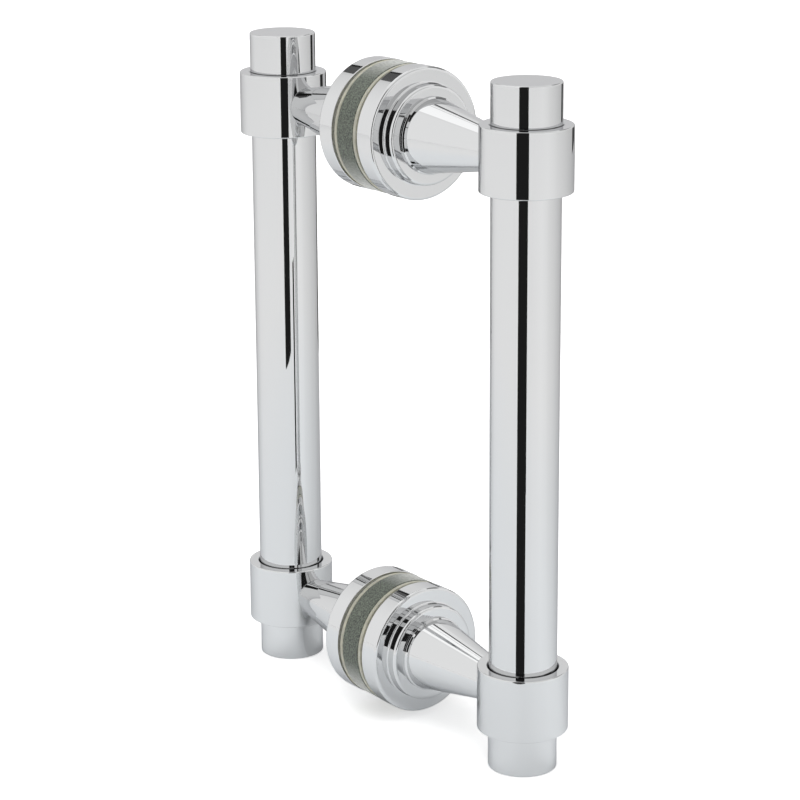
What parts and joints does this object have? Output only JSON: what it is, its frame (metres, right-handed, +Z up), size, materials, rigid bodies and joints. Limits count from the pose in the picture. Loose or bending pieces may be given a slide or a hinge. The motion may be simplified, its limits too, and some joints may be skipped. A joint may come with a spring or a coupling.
{
  "type": "shower door handle",
  "caption": "Back-to-back pull handle for a glass shower door: round bars held off the glass by tapered posts and stepped rosettes.",
  "frame": {"origin": "middle of the door's glass, halfway between the two fixings", "axes": "+Z up along the bars, -Y out of the door towards the front bar, X along the door"},
  "size_m": [0.05, 0.184, 0.258],
  "materials": {
    "chrome": "polished chrome plate",
    "glass": "toughened glass with a ground, matt edge",
    "vinyl": "clear vinyl, slightly yellow",
    "rubber": "dark olive rubber, matt",
    "nylon": "natural nylon",
    "brass": "turned brass, bare",
    "steel": "stainless steel fastener"
  },
  "bodies": {
    "root": {"front_bar_tube": "chrome", "front_upper_end_cap": "chrome", "front_upper_collar": "chrome", "front_upper_post": "chrome", "front_upper_rosette": "chrome", "front_upper_rubber_washer": "rubber", "front_upper_vinyl_gasket": "vinyl", "front_lower_end_cap": "chrome", "front_lower_collar": "chrome", "front_lower_post": "chrome", "front_lower_rosette": "chrome", "front_lower_rubber_washer": "rubber", "front_lower_vinyl_gasket": "vinyl", "rear_bar_tube": "chrome", "rear_upper_end_cap": "chrome", "rear_upper_collar": "chrome", "rear_upper_post": "chrome", "rear_upper_rosette": "chrome", "rear_upper_rubber_washer": "rubber", "rear_upper_vinyl_gasket": "vinyl", "rear_lower_end_cap": "chrome", "rear_lower_collar": "chrome", "rear_lower_post": "chrome", "rear_lower_rosette": "chrome", "rear_lower_rubber_washer": "rubber", "rear_lower_vinyl_gasket": "vinyl", "front_upper_hub": "brass", "upper_glass_disc": "glass", "upper_bolt_sleeve": "nylon", "front_lower_hub": "brass", "lower_glass_disc": "glass", "lower_bolt_sleeve": "nylon", "through_studs": "steel", "grub_screws": "steel", "collar_screws": "steel"}
  },
  "joints": []
}
